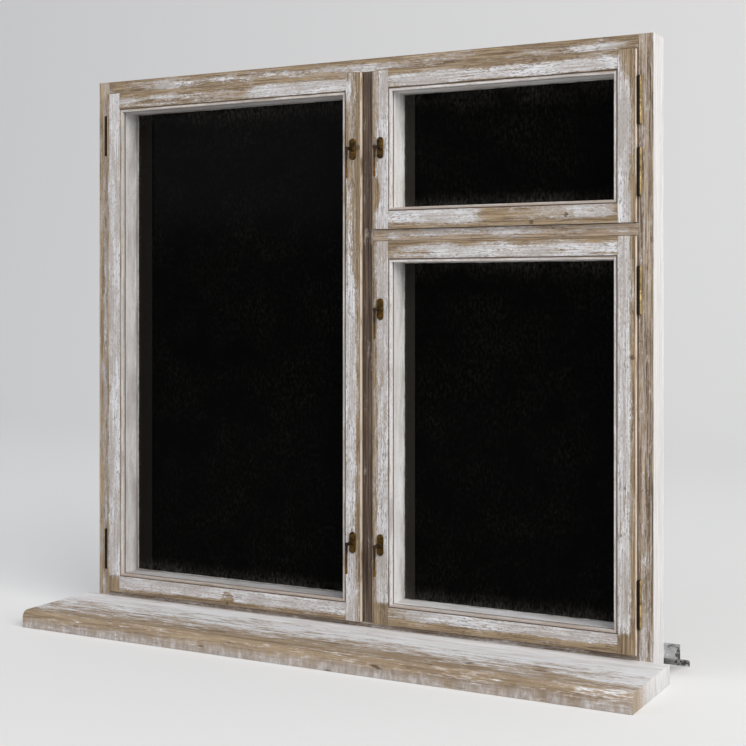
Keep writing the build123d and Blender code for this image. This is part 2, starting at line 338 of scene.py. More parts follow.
# The cover of paint along each member, then across it from its outer edge.
sash_paint = {
    "left_sash_hinge_stile": (
        ((0, 0), (0.026, 0.05), (0.042, 0.92), (1, 1)),
        ((0, 0.05), (0.12, 0.3), (0.24, 0.88), (0.5, 1), (1, 0.95))),
    "left_sash_lock_stile": (
        ((0, 0.95), (0.55, 0.85), (0.68, 0.55), (0.76, 0.32), (0.9, 0.32), (0.97, 0.7), (1, 0.4)),
        pane_side),
    "left_sash_top_rail": (
        ((0, 0.52), (0.15, 0.45), (0.3, 0.42), (0.45, 0.34), (0.56, 0.28), (0.64, 0.95), (0.75, 1.15),
         (1, 1.15)),
        ((0, 0.05), (0.25, 0.35), (0.45, 0.95), (0.85, 0.95), (1, 0.5))),
    "left_sash_bottom_rail": (
        ((0, 0.9), (0.4, 0.95), (1, 0.85)),
        ((0, 0), (0.16, 0.15), (0.36, 0.8), (0.5, 1), (1, 0.95))),
    "upper_sash_hinge_stile": (
        ((0, 0.9), (0.6, 0.9), (0.8, 0.75), (0.92, 0.35), (1, 0.1)),
        pane_side),
    "upper_sash_lock_stile": (
        ((0, 1), (0.8, 1), (1, 0.85)),
        ((0, 0.1), (0.3, 0.6), (0.5, 0.97), (1, 0.92))),
    "upper_sash_top_rail": (
        ((0, 0.5), (0.08, 0.9), (0.5, 0.85), (0.9, 1), (1, 1)),
        ((0, 0), (0.25, 0.3), (0.4, 0.85), (0.85, 0.95), (1, 0.4))),
    "upper_sash_bottom_rail": (
        ((0, 0.7), (0.1, 0.95), (0.37, 0.95), (0.46, 0.3), (0.78, 0.35), (0.87, 0.75), (0.95, 0.7),
         (1, 0.3)),
        ((0, 0), (0.2, 0.25), (0.4, 0.85), (1, 1))),
    "lower_sash_hinge_stile": (
        ((0, 0), (0.038, 0.05), (0.055, 0.85), (0.5, 0.8), (1, 0.85)),
        pane_side),
    "lower_sash_lock_stile": (
        ((0, 0), (0.048, 0.05), (0.066, 0.92), (0.5, 0.8), (1, 0.9)),
        ((0, 0.1), (0.25, 0.45), (0.4, 0.92), (1, 0.92))),
    "lower_sash_top_rail": (
        ((0, 0.35), (0.12, 0.6), (0.25, 0.9), (1, 0.85)),
        ((0, 0.05), (0.25, 0.35), (0.4, 0.92), (1, 0.92))),
    "lower_sash_bottom_rail": (
        ((0, 0.35), (0.07, 0.5), (0.12, 0.95), (0.95, 0.95), (1, 0.8)),
        ((0, 0), (0.3, 0.1), (0.5, 0.8), (0.7, 1), (1, 0.85))),
}
sash_patches = {
    "left_sash_bottom_rail": ((0.5, 0.3, 0.035, 0.75, -0.6),),
    "upper_sash_lock_stile": ((0.22, 0.1, 0.13, 0.55, -0.7),),
}
sash_knots = {
    "upper_sash_bottom_rail": ((0.645, 0.16, 0.012, 0.16), (0.79, 0.5, 0.012, 0.18)),
    "left_sash_bottom_rail": ((0.5, 0.12, 0.008, 0.16),),
    "left_sash_lock_stile": ((0.863, 0.2, 0.007, 0.2),),
    "lower_sash_hinge_stile": ((0.71, 0.2, 0.008, 0.2),),
}
stile_edge = 0.85
rail_edge = 0.4
for sash, (low, high, hinge_side) in sashes.items():
    hinge_edge = high[0] if hinge_side > 0 else low[0]
    lock_edge = low[0] if hinge_side > 0 else high[0]
    upright = (low[1], high[1])
    level = (low[0] + sash_face, high[0] - sash_face)
    members = {
        "hinge_stile": ("z", upright, (hinge_edge, hinge_edge - hinge_side * sash_face)),
        "lock_stile": ("z", upright, (lock_edge, lock_edge + hinge_side * sash_face)),
        "top_rail": ("x", level, (high[1], high[1] - sash_face)),
        "bottom_rail": ("x", level, (low[1], low[1] + sash_face)),
    }
    for member, (grain, along, across) in members.items():
        node = f"{sash}_sash_{member}"
        dress(node, weathered(
            f"{node}_wood", grain, along, across, *sash_paint[node],
            patches=sash_patches.get(node, ()), knots=sash_knots.get(node, ()),
            edge=stile_edge if grain == "z" else rail_edge))


# Glazing beads
# Mitred mouldings that hold the panes from the room side, each with a narrow groove beside the sash.
# Their faces are rubbed to cream, dark lines of dirt and painted shade run in the groove and the quirk, a
# line of painted shade lies at the pane, and the reveals keep their grey-white paint.
bead_width = 0.008
reveal_line = (0.0108, 0.0142)
glazing_line = (0.0595, 0.0620)
line_fade = 0.0006
groove_dirt_and_shade = tint(82, 66, 54)
reveal_chip = tint(150, 142, 134)
reveal_deep = tint(132, 128, 124)


def rubbed_face(bead, band, tone, chips, face_tones):
    """Two tones by a wandering band across the bead, with grey paint and worn chips by noise."""
    face = bead.blend(bead.span(band, 0.15, 0.95), *face_tones)
    face = bead.lay(face, bead.span(tone, 0.50, 0.62), 0.75, paint_grey)
    return bead.lay(face, bead.span(chips, 0.55, 0.66), 0.7, paint_worn)


def reveal_paint(bead, depth, tone, rubbed, chips, fibres, reveal_tones):
    """Two tones by noise along the grain, rubbed and chipped, and greyer in places near the pane."""
    share = bead.plus(tone, bead.times(fibres, 0.4))
    reveal = bead.blend(bead.span(share, 0.55, 0.85), *reveal_tones)
    reveal = bead.lay(reveal, bead.span(rubbed, 0.58, 0.70), 0.5, paint_worn)
    reveal = bead.lay(reveal, bead.span(chips, 0.42, 0.32), 0.5, reveal_chip)
    deep = bead.times(bead.span(depth, 0.040, 0.068), bead.span(tone, 0.62, 0.42))
    return bead.lay(reveal, deep, 0.6, reveal_deep)


def bead_finish(name, grain, middle, half_outer, half_inner, face_tones, reveal_tones, pane_shade):
    """Rubbed paint on the bead's face and first step, darkened with dirt and painted shade along the
    groove, then a dark line of dirt and painted shade in the quirk, the paint of the reveal, and a line of
    painted shade at the pane.

    The face is told by the distance from the pane's middle line, and the reveal by its depth.
    """
    bead = Finish(name)
    _, side, vector = member_axes(bead, grain)
    s = bead.span(bead.away(side, middle), half_outer, half_inner)
    depth = bead.minus(bead.y, sash_front)
    rubbed = bead.noise(vector, 14, 120, detail=5, rough=0.7)
    chips = bead.noise(vector, 110, 300, detail=3, rough=0.7, shift=3.0)
    fibres = bead.noise(vector, 7, 420, detail=2, shift=7.0)
    tone = bead.noise(vector, 7, 30, detail=4, rough=0.65, shift=2.0)
    face = rubbed_face(bead, bead.plus(s, bead.swing(rubbed, 3.4)), tone, chips, face_tones)
    if grain == "x":
        below = bead.times(bead.span(side, middle, middle - 0.001), bead.span(rubbed, 0.40, 0.55))
        face = bead.lay(face, below, 0.8, paint_worn)
    # Dirt and painted shade along the groove beside the sash.
    face = bead.lay(face, bead.span(s, 0.40, 0.20), 0.92, groove_dirt_and_shade)
    reveal = reveal_paint(bead, depth, tone, rubbed, chips, fibres, reveal_tones)
    reveal = bead.blend(bead.span(depth, *reveal_line), face, reveal)
    colour = bead.blend(bead.span(s, 0.80, 0.97), face, reveal)
    # Dark lines of dirt and painted shade in the quirk, and of painted shade at the corner against the
    # pane.
    for (start, end), amount in ((reveal_line, 0.95), (glazing_line, pane_shade)):
        after_start = bead.span(depth, start - line_fade, start)
        before_end = bead.span(depth, end + line_fade, end)
        colour = bead.lay(colour, bead.times(after_start, before_end), amount, groove_dirt_and_shade)
    height = bead.plus(bead.times(rubbed, 0.8), bead.times(fibres, 0.6))
    return bead.close(colour, 0.7, height, relief=0.0004)


room_side_face = (tint(170, 155, 142), tint(232, 228, 226))
# Each entry gives the face tones, the reveal tones and how dark the painted shade line at the pane is.
bead_paint = {
    "left": ((tint(154, 138, 120), tint(218, 211, 204)), (tint(188, 183, 182), tint(224, 222, 221)), 0.8),
    "upper": (room_side_face, (tint(216, 210, 204), tint(244, 244, 246)), 0.2),
    "lower": (room_side_face, (tint(218, 214, 210), tint(244, 244, 246)), 0.2),
}
for sash, (low, high, _) in sashes.items():
    for node, axis, grain in (("side_beads", 0, "z"), ("rail_beads", 1, "x")):
        middle = (low[axis] + high[axis]) / 2
        half = (high[axis] - low[axis]) / 2 - sash_face
        dress(f"{sash}_{node}", bead_finish(
            f"{sash}_{node}_paint", grain, middle, half, half - bead_width, *bead_paint[sash]))


# Panes
# Single sheets of glass, 4 mm thick, set behind the beads, coloured near black as painted shade for the
# dark space behind them.
# A film of dust gathers along their edges, and a paler band at the left edge is a painted reflection.
# Near black as painted shade: it stands for the dark space behind the panes.
pane_painted_dark = tint(3, 3, 3)
dust_and_reflection_grey = tint(62, 59, 55)


def edge_dust(glass, edges, rough_edge):
    """Dust toward each edge: the square of the nearness within its reach, broken up by noise."""
    film = 0.0
    for away, reach, amount in edges:
        near = glass.reckon("POWER", glass.span(away, reach, 0.0), 2.0)
        film = glass.plus(film, glass.times(glass.times(near, rough_edge), amount))
    return film


def pane_finish(name, low, high, band, band_reflection):
    """Glass near black as painted shade, under faint rubbed dust, with a paler band of painted reflection
    at the left edge, and a few specks.
    """
    glass = Finish(name)
    left = glass.minus(glass.x, low[0])
    right = glass.minus(high[0], glass.x)
    down = glass.minus(glass.z, low[1])
    up = glass.minus(high[1], glass.z)
    upright = glass.join(glass.z, glass.x, glass.y)
    rub = glass.noise(upright, 90, 190, detail=3, rough=0.7)
    cloud = glass.noise(glass.place, 8, 8, detail=4, rough=0.7, shift=4.0)
    speck = glass.noise(glass.place, 150, 150, detail=2, rough=0.8, shift=9.0)
    grain = glass.times(glass.span(rub, 0.46, 0.80), glass.span(cloud, 0.36, 0.66))
    rough_edge = glass.times(glass.span(rub, 0.35, 0.70), glass.span(cloud, 0.30, 0.60))
    edges = ((down, 0.040, 1.6), (up, 0.060, 1.1), (left, 0.016, 0.8), (right, 0.016, 0.6))
    film = glass.plus(glass.plus(0.006, glass.times(grain, 0.22)), edge_dust(glass, edges, rough_edge))
    # A paler band at the left edge of each pane: a painted reflection.
    film = glass.plus(film, glass.times(glass.span(left, band + 0.002, band), band_reflection))
    dots = glass.times(glass.span(speck, 0.74, 0.78), glass.span(cloud, 0.52, 0.62))
    film = glass.plus(film, glass.times(dots, 1.2), clamp=True)
    glass.shader.inputs["Specular IOR Level"].default_value = 0.015
    roughness = glass.plus(0.12, glass.times(film, 0.4))
    return glass.close(glass.blend(film, pane_painted_dark, dust_and_reflection_grey), roughness)


reflection_bands = {"left": (0.042, 0.22), "upper": (0.026, 0.50), "lower": (0.026, 0.45)}
bead_edge = sash_face + bead_width
panes = {}
for sash, (low, high, _) in sashes.items():
    pane_low = (low[0] + bead_edge, low[1] + bead_edge)
    pane_high = (high[0] - bead_edge, high[1] - bead_edge)
    panes[sash] = (pane_low, pane_high)
    dress(f"{sash}_glass", pane_finish(f"{sash}_pane_glass", pane_low, pane_high, *reflection_bands[sash]))


# Sealant lines
# A thin pale fillet of old sealant runs round each pane, on both of its faces.
weld_reach = 0.000002


def skin(name, grids):
    """One mesh from grids of points, each an array of rows by columns by 3.

    Neighbouring rows and columns are joined by quads, equal points are merged and faces turned outwards.
    """
    points = []
    quads = []
    start = 0
    for grid in grids:
        rows, columns = grid.shape[:2]
        index = start + np.arange(rows * columns).reshape(rows, columns)
        corner = (index[:-1, :-1], index[1:, :-1], index[1:, 1:], index[:-1, 1:])
        quads.append(np.stack([part.ravel() for part in corner], axis=1))
        points.append(grid.reshape(-1, 3))
        start += rows * columns
    mesh = bpy.data.meshes.new(name)
    mesh.from_pydata(np.concatenate(points).tolist(), [], np.concatenate(quads).tolist())
    shell = bmesh.new()
    shell.from_mesh(mesh)
    bmesh.ops.remove_doubles(shell, verts=shell.verts, dist=weld_reach)
    bmesh.ops.recalc_face_normals(shell, faces=shell.faces)
    shell.to_mesh(mesh)
    shell.free()
    mesh.polygons.foreach_set("use_smooth", np.ones(len(mesh.polygons), dtype=bool))
    piece = bpy.data.objects.new(name, mesh)
    bpy.context.scene.collection.objects.link(piece)
    return piece


def fillet_round(low, high, depth, way, size, wobble):
    """A curved fillet carried round a rectangle, mitred at its corners.

    Its width is size plus a wobble of two sines along the way, and its section is a quarter circle.
    """
    per_side = 60
    (left, foot), (right, top) = low, high
    corner = np.array([(left, foot), (right, foot), (right, top), (left, top), (left, foot)])
    inward = np.array([(1, 1), (-1, 1), (-1, -1), (1, -1), (1, 1)])
    step = np.linspace(0, 4, 4 * per_side + 1)
    place = np.stack([np.interp(step, range(5), corner[:, k]) for k in (0, 1)], axis=1)
    lean = np.stack([np.interp(step, range(5), inward[:, k]) for k in (0, 1)], axis=1)
    lean = lean / np.abs(lean).max(axis=1, keepdims=True)
    width = size * (1 + wobble * np.sin(step * 9.0) * np.sin(step * 23.0 + 1.0))
    width[-1] = width[0]
    turn = np.linspace(0, math.pi / 2, 5)
    across = np.append(np.cos(turn), 0.0)
    rise = np.append(np.sin(turn), 0.0)
    x = place[:, :1] + lean[:, :1] * width[:, None] * across
    z = place[:, 1:] + lean[:, 1:] * width[:, None] * across
    y = depth + way * width[:, None] * rise
    grid = np.stack([x, y, z], axis=2)
    return np.concatenate([grid, grid[:, :1]], axis=1)


sealant = Finish("old_sealant")
sealant_dirt = sealant.noise(sealant.place, 40, 40, detail=4)
sealant_tone = sealant.tones(sealant_dirt, (0.35, tint(104, 98, 90)), (0.6, tint(176, 172, 166)))
sealant_paint = sealant.close(sealant_tone, 0.6, sealant_dirt)
glass_front = 0.020
glass_back = 0.024
fillet_size = 0.0014
fillet_wobble = 0.25
for sash, (pane_low, pane_high) in panes.items():
    lines = skin(f"{sash}_sealant", [
        fillet_round(pane_low, pane_high, glass_front, -1, fillet_size, fillet_wobble),
        fillet_round(pane_low, pane_high, glass_back, 1, fillet_size, fillet_wobble)])
    lines.data.materials.append(sealant_paint)
    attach(lines, "window")


# Hinges
# Turned brass barrels at each sash's outer edge, with one leaf to the sash and one to the frame.
# The brass is tarnished nearly black and rubbed to gold only on the half that faces away from the sash; the
# half toward the sash is kept dark as painted shade.
def turned(profile, centre, axis="z", steps=28):
    """A profile of (radius, height) points turned once round an upright or a front-to-back axis."""
    angle = np.linspace(0, 2 * math.pi, steps + 1)
    radius = np.array(profile)[:, :1]
    height = np.repeat(np.array(profile)[:, 1:], steps + 1, axis=1)
    first = radius * np.cos(angle)
    second = radius * np.sin(angle)
    order = (first, second, height) if axis == "z" else (first, height, second)
    return np.stack(order, axis=2) + np.array(centre)


def signed_power(value, power):
    """The size of value to a power, with its sign kept."""
    return np.sign(value) * np.abs(value) ** power


def eased_bar(low, high, ease):
    """A bar along Z whose section is a rectangle with rounded corners, drawn in at both ends.

    The section is a superellipse: the cosine and sine of the angle to the power 2/7.
    """
    low = np.array(low)
    high = np.array(high)
    middle = (low + high) / 2
    half = (high - low) / 2
    angle = np.linspace(0, 2 * math.pi, 25)
    square = 2 / 7
    shape = np.stack([signed_power(np.cos(angle), square), signed_power(np.sin(angle), square)], axis=1)
    level = np.array([-half[2], -half[2], ease - half[2], half[2] - ease, half[2], half[2]])
    inset = np.array([1.0, ease, 0.0, 0.0, ease, 1.0])
    size = np.where(inset[:, None] == 1.0, 0.0, half[:2] - inset[:, None])
    rings = shape[None] * size[:, None]
    height = np.repeat(level[:, None, None], 25, axis=1)
    return np.concatenate([rings, height], axis=2) + middle


def brass_finish(name, dark, gold, rub_low, rub_high, shine=0.35, rough=0.55, axis_x=None, side=1):
    """Tarnish over brass: gold shows where two noises together are high.

    With an axis given, only the half of a barrel that faces away from the sash is rubbed, and the half
    toward the sash is kept dark as painted shade.
    """
    brass = Finish(name)
    spots = brass.noise(brass.place, 90, 90, detail=4)
    film = brass.noise(brass.place, 700, 700, detail=2, shift=2.0)
    rubbed = brass.span(brass.plus(spots, brass.times(film, 0.3)), rub_low, rub_high)
    if axis_x is not None:
        # Painted shade: gold is kept off the half of the barrel toward the sash.
        painted_lit_half = brass.span(brass.x, axis_x + side * 0.0014, axis_x + side * 0.0034)
        rubbed = brass.times(rubbed, painted_lit_half)
    colour = brass.blend(rubbed, dark, gold)
    brass.shader.inputs["Metallic"].default_value = shine
    brass.shader.inputs["Specular IOR Level"].default_value = 0.2
    roughness = brass.minus(rough, brass.times(rubbed, 0.2))
    return brass.close(colour, roughness, film, relief=0.0002)


hinge_radius = 0.0054
hinge_half = 0.051
hinge_round = 0.003
hinge_room = 0.0003
leaf_half = 0.00125
leaf_reach = 0.043
leaf_gap = 0.0005
leaf_ease = 0.0004
hinge_levels = {"left": (1.203, 0.157), "upper": (1.203, 1.054), "lower": (0.808, 0.157)}
quarter = np.linspace(0, math.pi / 2, 6)
end_radius = hinge_radius - hinge_round + hinge_round * np.cos(quarter)
end_height = hinge_half - hinge_round + hinge_round * np.sin(quarter)
top_end = np.append(np.stack([end_radius, end_height], axis=1), [(0, hinge_half)], axis=0)
seam = [(hinge_radius, -0.0006), (hinge_radius - 0.0006, 0), (hinge_radius, 0.0006)]
barrel_profile = np.concatenate([top_end[::-1] * (1, -1), seam, top_end])
for sash, (low, high, hinge_side) in sashes.items():
    edge = high[0] if hinge_side > 0 else low[0]
    axis_x = edge + hinge_side * (hinge_radius + hinge_room)
    axis_y = frame_face - hinge_radius - hinge_room
    grids = []
    for level in hinge_levels[sash]:
        grids.append(turned(barrel_profile, (axis_x, axis_y, level)))
        leaf_low, leaf_high = sorted((edge, axis_x))
        grids.append(eased_bar((leaf_low, axis_y - leaf_half, level + leaf_gap),
                               (leaf_high, axis_y + leaf_half, level + leaf_reach), leaf_ease))
        grids.append(eased_bar((axis_x - leaf_half, axis_y, level - leaf_reach),
                               (axis_x + leaf_half, frame_face, level - leaf_gap), leaf_ease))
    hinges = skin(f"{sash}_barrels", grids)
    hinges.data.materials.append(brass_finish(
        f"{sash}_hinge_brass", tint(30, 18, 5), tint(176, 152, 104), 0.36, 0.74,
        axis_x=axis_x, side=hinge_side))
    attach(hinges, "window")
    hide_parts(f"{sash}_hinges")


# Handle rosettes
# Long oval brass plates with bevelled rims, a turned collar in the middle and two slotted screws.
def slot_plate(x, z, half_width, half_height, profile):
    """A plate with half-round ends, as rings drawn in toward its middle line.

    Each ring follows the plate's outline at a share of its half width, and stands at its own height.
    """
    straight = half_height - half_width
    turn = np.linspace(0, math.pi, 15)
    side = np.linspace(1, -1, 9)
    angle = np.concatenate([turn, np.full(9, math.pi), turn + math.pi, np.full(9, 2 * math.pi)])
    shift = np.concatenate([np.ones(15), side, -np.ones(15), -side]) * straight
    share = np.array(profile)[:, :1]
    rise = np.array(profile)[:, 1:]
    ring_x = x + share * half_width * np.cos(angle)
    ring_z = z + share * half_width * np.sin(angle) + shift
    ring_y = np.repeat(sash_front - rise, len(angle), axis=1)
    grid = np.stack([ring_x, ring_y, ring_z], axis=2)
    return np.concatenate([grid, grid[:, :1]], axis=1)


def slotted_head(x, z, radius, base, tilt):
    """A domed screw head with a slot: a square grid pressed to a disc, sunk where it crosses the slot."""
    dome_rise = 0.0009
    slot_half = 0.15
    slot_depth = 0.0007
    line = np.array([-1, -0.8, -0.5, -0.18, -0.13, 0, 0.13, 0.18, 0.5, 0.8, 1])
    u, v = np.meshgrid(line, line, indexing="ij")
    disc_u = u * np.sqrt(1 - v * v / 2)
    disc_v = v * np.sqrt(1 - u * u / 2)
    dome = dome_rise * (1 - (disc_u ** 2 + disc_v ** 2) ** 1.5)
    dome = dome - np.where(np.abs(v) < slot_half, slot_depth, 0.0)
    head_x = x + radius * (disc_u * math.cos(tilt) - disc_v * math.sin(tilt))
    head_z = z + radius * (disc_u * math.sin(tilt) + disc_v * math.cos(tilt))
    return np.stack([head_x, sash_front - base - dome, head_z], axis=2)


rosette_brass = brass_finish(
    "rosette_brass", tint(26, 16, 3), tint(104, 76, 24), 0.50, 0.90, shine=0.6, rough=0.42)
screw_brass = brass_finish(
    "screw_brass", tint(46, 34, 16), tint(112, 86, 40), 0.45, 0.95, shine=0.6, rough=0.42)
plate_half_width = 0.008
plate_half_height = 0.0245
screw_radius = 0.0027
screw_base = 0.0036
screw_reach = 0.0165
left_handle_x = 0.021
right_handle_x = 0.093
handle_places = {
    "left": ((left_handle_x, 1.133, "left_top"), (left_handle_x, 0.232, "left_bottom")),
    "upper": ((right_handle_x, 1.133, "upper_middle"),),
    "lower": ((right_handle_x, 0.767, "lower_top"), (right_handle_x, 0.232, "lower_bottom")),
}
plate_profile = [
    (1, 0), (1, 0.0022), (0.97, 0.0029), (0.86, 0.0038), (0.80, 0.0040), (0.72, 0.0037), (0, 0.0037)]
collar_profile = [(0.0065, 0.0), (0.0065, -0.0056), (0.0060, -0.0063), (0.0052, -0.0065),
                  (0.0036, -0.0065), (0.0036, 0.0)]
for sash, places in handle_places.items():
    plates = []
    heads = []
    for number, (x, z, _) in enumerate(places):
        plates.append(slot_plate(x, z, plate_half_width, plate_half_height, plate_profile))
        plates.append(turned(collar_profile, (x, sash_front, z), axis="y"))
        heads.append(slotted_head(x, z + screw_reach, screw_radius, screw_base, 0.6 + number))
        heads.append(slotted_head(x, z - screw_reach, screw_radius, screw_base, 2.0 - number))
    plate = skin(f"{sash}_plates", plates)
    plate.data.materials.append(rosette_brass)
    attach(plate, "window")
    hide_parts(f"{sash}_rosettes")
    screws = skin(f"{sash}_screws", heads)
    screws.data.materials.append(screw_brass)
    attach(screws, "window")


# Handle levers
# A round neck turns in the rosette, and a slim cast lever hangs from its end, thicker at its tip.
# The neck and the top are dark, and the lower half is rubbed to gold by fingers.
def hanging_blade(x, z, standoff, length):
    """An oval section carried straight down, with its half width a curve of the way down.

    It falls from 3.4 mm at the neck to 2.2 mm at the waist, swells to 2.8 mm near the tip and rounds
    off there as the square root of one less the square of the way past the last straight part.
    """
    tip = 0.06
    roundness = 0.75
    flatness = 0.9
    tip_turn = np.linspace(0, math.pi / 2, 8)[1:]
    way = np.concatenate([np.linspace(0, 1 - tip, 26), 1 - tip + tip * np.sin(tip_turn)])
    half = np.interp(way, [0, 0.1, 0.42, 0.8, 0.92, 1], [0.0034, 0.0028, 0.0022, 0.0024, 0.0028, 0.0028])
    past = np.clip((way - 1 + tip) / tip, 0, 1)
    half = half * np.sqrt(np.clip(1 - past ** 2, 0, 1))
    angle = np.linspace(0, 2 * math.pi, 25)
    blade_x = x + half[:, None] * signed_power(np.cos(angle), roundness)
    blade_y = sash_front - standoff + flatness * half[:, None] * signed_power(np.sin(angle), roundness)
    blade_z = np.repeat((z - way * length)[:, None], 25, axis=1)
    return np.stack([blade_x, blade_y, blade_z], axis=2)


def lever_finish(name, z):
    """Dark brass that turns golden down the blade by the height below the neck."""
    brass = Finish(name)
    spots = brass.noise(brass.place, 120, 120, detail=4)
    film = brass.noise(brass.place, 700, 700, detail=2, shift=2.0)
    down = brass.span(brass.z, z - 0.015, z - 0.065)
    rubbed = brass.span(brass.plus(brass.times(down, 0.45), spots), 0.45, 1.10)
    colour = brass.blend(rubbed, tint(28, 18, 5), tint(122, 84, 30))
    brass.shader.inputs["Metallic"].default_value = 0.6
    return brass.close(colour, 0.45, film, relief=0.0002)


lever_standoff = 0.029
lever_length = 0.068
neck_radius = 0.0042
neck_profile = [
    (0, -0.0003), (0.0034, -0.0003), (0.0034, -0.0068), (0.0049, -0.0068), (0.0053, -0.0072),
    (0.0053, -0.0082), (0.0048, -0.0086), (neck_radius, -0.0090), (0.0038, -0.0120), (0.0037, -0.0200),
    (neck_radius, -0.0275)]
cap = np.linspace(0, math.pi / 2, 8)
cap_profile = np.stack([neck_radius * np.cos(cap), -lever_standoff - neck_radius * np.sin(cap)], axis=1)
full_neck = np.concatenate([neck_profile, cap_profile])
full_neck[-1, 0] = 0
for places in handle_places.values():
    for x, z, handle in places:
        grids = [turned(full_neck, (x, sash_front, z), axis="y"),
                 hanging_blade(x, z, lever_standoff, lever_length)]
        lever = skin(f"{handle}_cast_lever", grids)
        lever.data.materials.append(lever_finish(f"{handle}_lever_brass", z))
        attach(lever, f"{handle}_handle")
        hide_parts(f"{handle}_lever")


# Window board
# One thick softwood board with a rounded nose, butted against the frame and left standing past its sides.
# Its paint is worn through to tan wood at the nose, and whitewash streaks run along the grain behind it.
board_low = np.array((-0.759, -0.280, 0.0))
board_high = np.array((0.759, frame_face, 0.040))
board_nose = 0.016
board_stations = 380
dent_count = 46


def board_section():
    """The upper line from the nose back: a quarter circle, then level to the frame."""
    turn = np.linspace(0, math.pi / 2, 10)[::-1]
    nose_y = board_low[1] + board_nose * (1 - np.sin(turn))
    nose_z = board_high[2] - board_nose * (1 - np.cos(turn))
    back_y = np.linspace(board_low[1] + board_nose, board_high[1], 26)[1:]
    back_z = np.full(len(back_y), board_high[2])
    return np.concatenate([nose_y, back_y]), np.concatenate([nose_z, back_z])


def board_dents(x, y):
    """How deep the top is pressed in: a sum of bell curves at seeded places, most of them near the nose."""
    chance = np.random.default_rng(7)
    dents = np.zeros_like(y)
    for _ in range(dent_count):
        dent_x = chance.uniform(board_low[0], board_high[0])
        dent_y = board_low[1] + 0.05 * chance.random() ** 2
        along = chance.uniform(0.004, 0.02)
        across = chance.uniform(0.002, 0.007)
        depth = chance.uniform(0.0003, 0.0012)
        dents += depth * np.exp(-((x - dent_x) / along) ** 2 - ((y - dent_y) / across) ** 2)
    return dents


def board_grids():
    """The section carried along X, pressed in by dents and a slow wave at the nose, and its other faces.

    The wave is the product of two sines of X, and it fades back from the nose as a bell curve.
    """
    section_y, section_z = board_section()
    x = np.linspace(board_low[0], board_high[0], board_stations)[:, None]
    top_x, top_y = np.broadcast_arrays(x, section_y[None])
    dents = board_dents(x, top_y)
    wave = 0.0004 * (1 + np.sin(x * 31.0) * np.sin(x * 12.7 + 1.0))
    near_nose = np.exp(-((top_y - board_low[1]) / 0.012) ** 2)
    pressed_z = section_z - dents - wave * near_nose
    pressed_y = top_y + (dents + wave) * near_nose
    top = np.stack([top_x, pressed_y, pressed_z], axis=2)
    bottom = top.copy()
    bottom[:, :, 2] = board_low[2]
    front_levels = np.linspace(0, 1, 6)[:, None, None]
    front = top[None, :, 0] * front_levels + bottom[None, :, 0] * (1 - front_levels)
    back = np.stack([top[:, -1], bottom[:, -1]])
    left = np.stack([top[0], bottom[0]])
    right = np.stack([top[-1], bottom[-1]])
    return [top, bottom, front, back, left, right]


def board_top(wood, thick, thin, grain, broad, fibre):
    """Bare tan wood, under a thin wash where the cover is thin and pale paint where it is thick."""
    bare = wood.blend(wood.span(grain, 0.38, 0.62), tint(132, 112, 88), tint(188, 165, 136))
    washed = wood.blend(wood.span(fibre, 0.35, 0.65), tint(194, 176, 160), tint(222, 214, 208))
    pale_share = wood.span(wood.plus(grain, broad), 0.86, 1.10)
    pale = wood.blend(pale_share, tint(222, 218, 216), tint(246, 246, 247))
    return wood.blend(thick, wood.lay(bare, thin, 0.85, washed), pale)


def board_front(wood, colour):
    """Upright brush marks on the lower part of the front face, up to a wandering line."""
    upright = wood.join(wood.z, wood.x, wood.y)
    brush = wood.noise(upright, 26, 80, detail=5, rough=0.75, shift=2.0)
    paint = wood.tones(brush, (0.30, tint(154, 140, 128)), (0.5, tint(190, 182, 177)),
                       (0.66, tint(230, 227, 228)))
    wander = wood.swing(wood.noise(upright, 30, 60, detail=5, shift=8.0), 0.034)
    low_part = wood.span(wood.plus(wood.z, wander), 0.027, 0.008)
    face = wood.span(wood.y, board_low[1] + 0.0020, board_low[1] + 0.0001)
    return wood.lay(colour, wood.times(low_part, face), 0.9, paint)


def board_ends(wood, colour, s, fine):
    """End grain on both sawn ends: tan near the nose and pale behind it, with short dark fibres."""
    paint = wood.blend(wood.span(wood.plus(s, wood.swing(fine, 0.7)), 0.14, 0.46),
                       tint(176, 158, 136), tint(226, 225, 225))
    end_grain = wood.noise(wood.join(wood.z, wood.y, wood.x), 14, 260, detail=3)
    paint = wood.lay(paint, wood.span(end_grain, 0.52, 0.66), 0.45, tint(128, 110, 92))
    face = wood.span(wood.away(wood.x, 0.0), board_high[0] - 0.0008, board_high[0] - 0.0001)
    return wood.blend(face, colour, paint)


